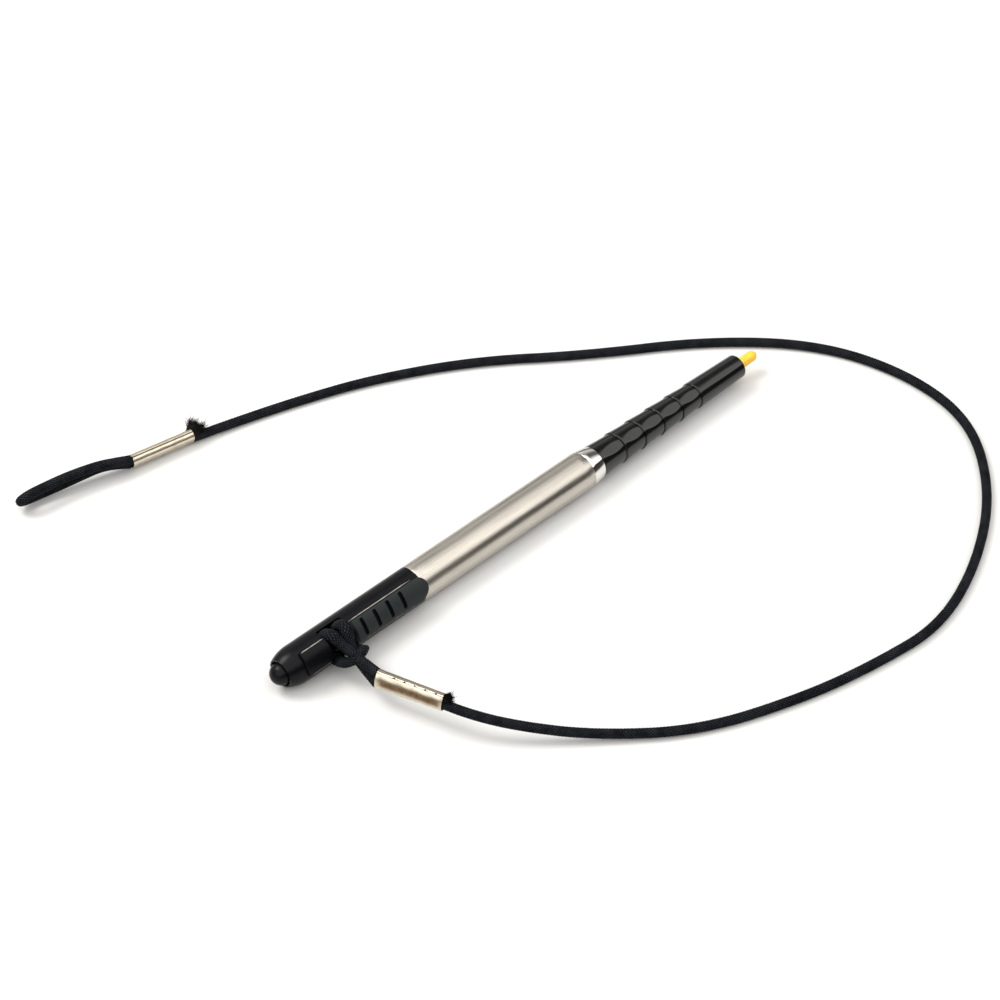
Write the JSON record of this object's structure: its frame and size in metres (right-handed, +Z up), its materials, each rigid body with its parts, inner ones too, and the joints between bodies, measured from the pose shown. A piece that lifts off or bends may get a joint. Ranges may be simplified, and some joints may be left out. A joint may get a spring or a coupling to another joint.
{
  "type": "stylus pen",
  "caption": "Stylus pen with a black railed head, a silver barrel, a tapered black grip and a yellow nib, tethered by a black elastic cord hitched round its rail.",
  "frame": {"origin": "under the middle of the pen's length, on the surface it lies on, below the pen's axis", "axes": "+X along the pen towards the nib, +Z up, -Y to the side that the rail leans to"},
  "size_m": [0.1498, 0.1404, 0.009],
  "materials": {
    "black_plastic": "satin moulded black with a fine texture on the rail's pads",
    "nub_plastic": "smooth satin black, slightly glossier than the head",
    "silver_tube": "bright silver, drawn along its length",
    "silver_ring": "bright polished silver",
    "grip_plastic": "satin black with soft highlights along the facets",
    "yellow_nib": "smooth warm yellow, slightly see-through plastic",
    "carrier_plastic": "plain dark grey moulding",
    "spring_steel": "drawn spring wire",
    "ferrule_sleeve": "bright plated metal, rolled round the cord with a seam and bites along it",
    "cord_weave": "black braided elastic cord"
  },
  "bodies": {
    "pen": {"head_body": "black_plastic", "end_plug": "nub_plastic", "barrel_tube": "silver_tube", "trim_ring": "silver_ring", "grip_body": "grip_plastic", "nib_spring": "spring_steel", "spring_plug": "carrier_plastic", "near_ferrule": "ferrule_sleeve", "near_crimp": "cord_weave", "near_tail": "cord_weave", "far_ferrule": "ferrule_sleeve", "far_crimp": "cord_weave", "far_tail": "cord_weave", "near_loop": "cord_weave", "far_loop": "cord_weave", "tether_cord": "cord_weave"},
    "nib_unit": {"nib": "yellow_nib", "nib_carrier": "carrier_plastic"}
  },
  "joints": [
    {"name": "nib_slide", "type": "slide", "parent": "pen", "child": "nib_unit", "axis": [1, 0, 0], "range_m": [-0.0015, 0], "stiffness_N_per_m": 300, "springref_m": 0.001, "deforming": ["nib_spring"]}
  ]
}
